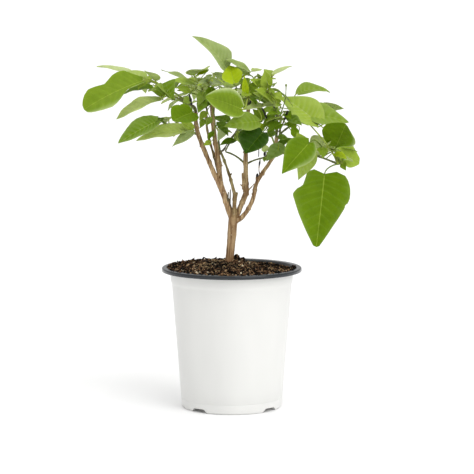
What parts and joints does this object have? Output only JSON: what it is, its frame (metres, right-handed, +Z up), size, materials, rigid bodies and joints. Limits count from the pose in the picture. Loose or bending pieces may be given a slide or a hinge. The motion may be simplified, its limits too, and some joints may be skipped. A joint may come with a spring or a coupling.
{
  "type": "potted lilac shrub",
  "caption": "Young lilac shrub on a short bare trunk that forks into slender boughs with heart-shaped leaves, in a round white nursery pot with a dark rim; stands on the pot's flat base.",
  "frame": {"origin": "middle of the pot's flat underside, on the surface it stands on", "axes": "+Z up along the trunk, +X to the right of the front view (towards the big hanging leaf), +Y away from the front"},
  "size_m": [0.3198, 0.1864, 0.4375],
  "materials": {
    "pot_plastic": "satin white moulded plastic, near-black blue at the rim and inside",
    "potting_mix": "moist dark peat and composted bark, matt and crumbly",
    "bark": "tan young bark, matt, with pale lenticels",
    "foliage": "smooth satin leaf, paler and matt underneath"
  },
  "bodies": {
    "root": {"pot": "pot_plastic", "potting_mix": "potting_mix", "trunk": "bark", "bough_left": "bark", "bough_left_outer": "bark", "bough_left_inner": "bark", "bough_left_thin": "bark", "bough_middle": "bark", "bough_middle_thin": "bark", "bough_right": "bark", "foliage_left": "foliage", "foliage_left_low": "foliage", "foliage_left_top": "foliage", "foliage_inner": "foliage", "foliage_thin_middle": "foliage", "foliage_twig_left": "foliage", "foliage_twig_right": "foliage", "foliage_top": "foliage", "foliage_right": "foliage", "foliage_right_back": "foliage", "foliage_right_hanging": "foliage"}
  },
  "joints": []
}
